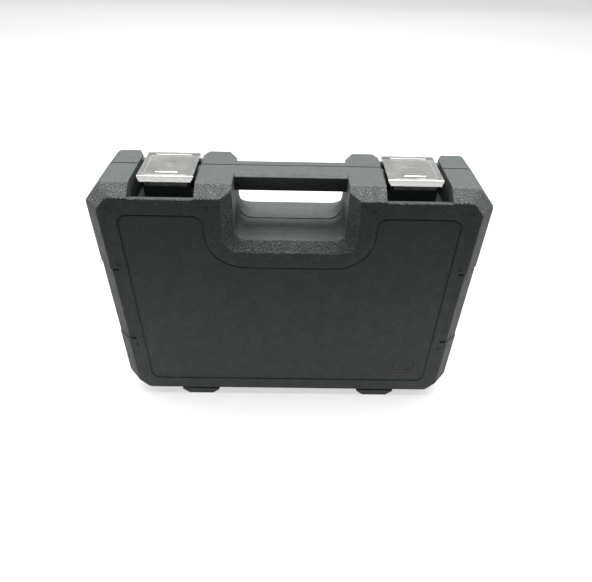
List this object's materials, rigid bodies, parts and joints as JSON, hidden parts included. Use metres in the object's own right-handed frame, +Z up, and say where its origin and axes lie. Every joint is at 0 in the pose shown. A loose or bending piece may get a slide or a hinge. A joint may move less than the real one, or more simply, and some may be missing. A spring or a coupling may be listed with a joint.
{
  "type": "socket wrench set in case",
  "caption": "Moulded black carrying case with integral grip and two steel toggle latches, holding a socket wrench set in a tray.",
  "frame": {"origin": "middle of the footprint, at the underside of the feet", "axes": "+Z up, -Y towards the front face, +X to the right seen from the front"},
  "size_m": [0.38, 0.088, 0.2768],
  "materials": {
    "case_plastic": "fine spark-eroded grain, coarse grain on the sloped borders",
    "tray_plastic": "matt blow-moulded",
    "foam": "open-cell foam",
    "latch_steel": "bright pressed stainless steel",
    "pin_steel": "plated steel",
    "grip_rubber": "soft-touch black",
    "dark_steel": "black oxide",
    "bit_steel": "sand-blasted tool steel",
    "chrome": "satin chrome vanadium"
  },
  "bodies": {
    "base": {"base_shell": "case_plastic", "bit_block": "tray_plastic", "driver_handle_grip": "grip_rubber", "driver_handle_shank": "chrome", "half_extension_long": "chrome", "half_extension_short": "chrome", "half_inch_socket_10mm": "chrome", "half_inch_socket_11mm": "chrome", "half_inch_socket_12mm": "chrome", "half_inch_socket_13mm": "chrome", "half_inch_socket_14mm": "chrome", "half_inch_socket_15mm": "chrome", "half_inch_socket_16mm": "chrome", "half_inch_socket_17mm": "chrome", "half_inch_socket_18mm": "chrome", "half_inch_socket_19mm": "chrome", "half_inch_socket_21mm": "chrome", "half_inch_socket_22mm": "chrome", "half_inch_socket_24mm": "chrome", "half_inch_socket_27mm": "chrome", "half_inch_socket_32mm": "chrome", "half_ratchet_body": "chrome", "half_ratchet_cover": "chrome", "half_ratchet_grip": "grip_rubber", "half_ratchet_pawl": "dark_steel", "half_ratchet_screws": "dark_steel", "hex_keys": "dark_steel", "hinge_pins": "pin_steel", "quarter_extension": "chrome", "quarter_inch_sockets": "chrome", "quarter_ratchet_body": "chrome", "quarter_ratchet_cover": "chrome", "quarter_ratchet_grip": "grip_rubber", "quarter_ratchet_pawl": "dark_steel", "quarter_ratchet_screws": "dark_steel", "screwdriver_bits": "bit_steel", "spark_plug_socket_16mm": "chrome", "spark_plug_socket_21mm": "chrome", "t_bar_rod": "chrome", "tool_tray": "tray_plastic", "universal_joint_socket_yoke": "chrome"},
    "lid": {"lid_shell": "case_plastic", "lid_foam": "foam", "latch_rivets": "pin_steel"},
    "lever_left": {"latch_lever_left": "latch_steel", "latch_link_pin_left": "pin_steel"},
    "hook_left": {"latch_hook_left": "pin_steel"},
    "lever_right": {"latch_lever_right": "latch_steel", "latch_link_pin_right": "pin_steel"},
    "hook_right": {"latch_hook_right": "pin_steel"},
    "half_ratchet_drive": {"half_ratchet_drive": "chrome"},
    "half_ratchet_button": {"half_ratchet_release_button": "chrome"},
    "half_ratchet_lever": {"half_ratchet_direction_lever": "dark_steel"},
    "quarter_ratchet_drive": {"quarter_ratchet_drive": "chrome"},
    "quarter_ratchet_button": {"quarter_ratchet_release_button": "chrome"},
    "quarter_ratchet_lever": {"quarter_ratchet_direction_lever": "dark_steel"},
    "t_bar_head": {"t_bar_head": "chrome"},
    "joint_cross": {"universal_joint_cross": "chrome"},
    "joint_drive_yoke": {"universal_joint_drive_yoke": "chrome"}
  },
  "joints": [
    {"name": "lid_hinge", "type": "hinge", "parent": "base", "child": "lid", "pos_m": [0, 0.0095, 0.0045], "axis": [-1, 0, 0], "range_deg": [0, 105]},
    {"name": "latch_lever_left", "type": "hinge", "parent": "lid", "child": "lever_left", "pos_m": [-0.1155, 0.026, 0.269], "axis": [-1, 0, 0], "range_deg": [0, 100]},
    {"name": "latch_hook_left", "type": "hinge", "parent": "lever_left", "child": "hook_left", "pos_m": [-0.1155, 0.031, 0.27], "axis": [-1, 0, 0], "range_deg": [-90, 0]},
    {"name": "latch_lever_right", "type": "hinge", "parent": "lid", "child": "lever_right", "pos_m": [0.1155, 0.026, 0.269], "axis": [-1, 0, 0], "range_deg": [0, 100]},
    {"name": "latch_hook_right", "type": "hinge", "parent": "lever_right", "child": "hook_right", "pos_m": [0.1155, 0.031, 0.27], "axis": [-1, 0, 0], "range_deg": [-90, 0]},
    {"name": "half_ratchet_drive_spin", "type": "hinge", "parent": "base", "child": "half_ratchet_drive", "pos_m": [-0.163, -0.006, 0.105], "axis": [0, 1, 0], "continuous": true},
    {"name": "half_ratchet_release_button", "type": "slide", "parent": "half_ratchet_drive", "child": "half_ratchet_button", "axis": [0, -1, 0], "range_m": [0, 0.002], "stiffness_N_per_m": 600, "springref_m": -0.002},
    {"name": "half_ratchet_direction_lever", "type": "hinge", "parent": "base", "child": "half_ratchet_lever", "pos_m": [-0.146, 0.009, 0.105], "axis": [0, -1, 0], "range_deg": [0, 40]},
    {"name": "quarter_ratchet_drive_spin", "type": "hinge", "parent": "base", "child": "quarter_ratchet_drive", "pos_m": [-0.168, -0.002, 0.184], "axis": [0, 1, 0], "continuous": true},
    {"name": "quarter_ratchet_release_button", "type": "slide", "parent": "quarter_ratchet_drive", "child": "quarter_ratchet_button", "axis": [0, -1, 0], "range_m": [0, 0.002], "stiffness_N_per_m": 600, "springref_m": -0.002},
    {"name": "quarter_ratchet_direction_lever", "type": "hinge", "parent": "base", "child": "quarter_ratchet_lever", "pos_m": [-0.15746, 0.0073, 0.184], "axis": [0, -1, 0], "range_deg": [0, 40]},
    {"name": "t_bar_slide", "type": "slide", "parent": "base", "child": "t_bar_head", "axis": [1, 0, 0], "range_m": [-0.04, 0.04]},
    {"name": "universal_joint_lift", "type": "hinge", "parent": "base", "child": "joint_cross", "pos_m": [0.076, 0.001, 0.157], "axis": [0, 0, 1], "range_deg": [0, 18]},
    {"name": "universal_joint_swing", "type": "hinge", "parent": "joint_cross", "child": "joint_drive_yoke", "pos_m": [0.076, 0.001, 0.157], "axis": [0, 1, 0], "range_deg": [-8, 8]}
  ],
  "couplings": [
    {"joint": "latch_hook_left", "follows": "latch_lever_left", "ratio": -0.89},
    {"joint": "latch_hook_right", "follows": "latch_lever_right", "ratio": -0.89}
  ]
}
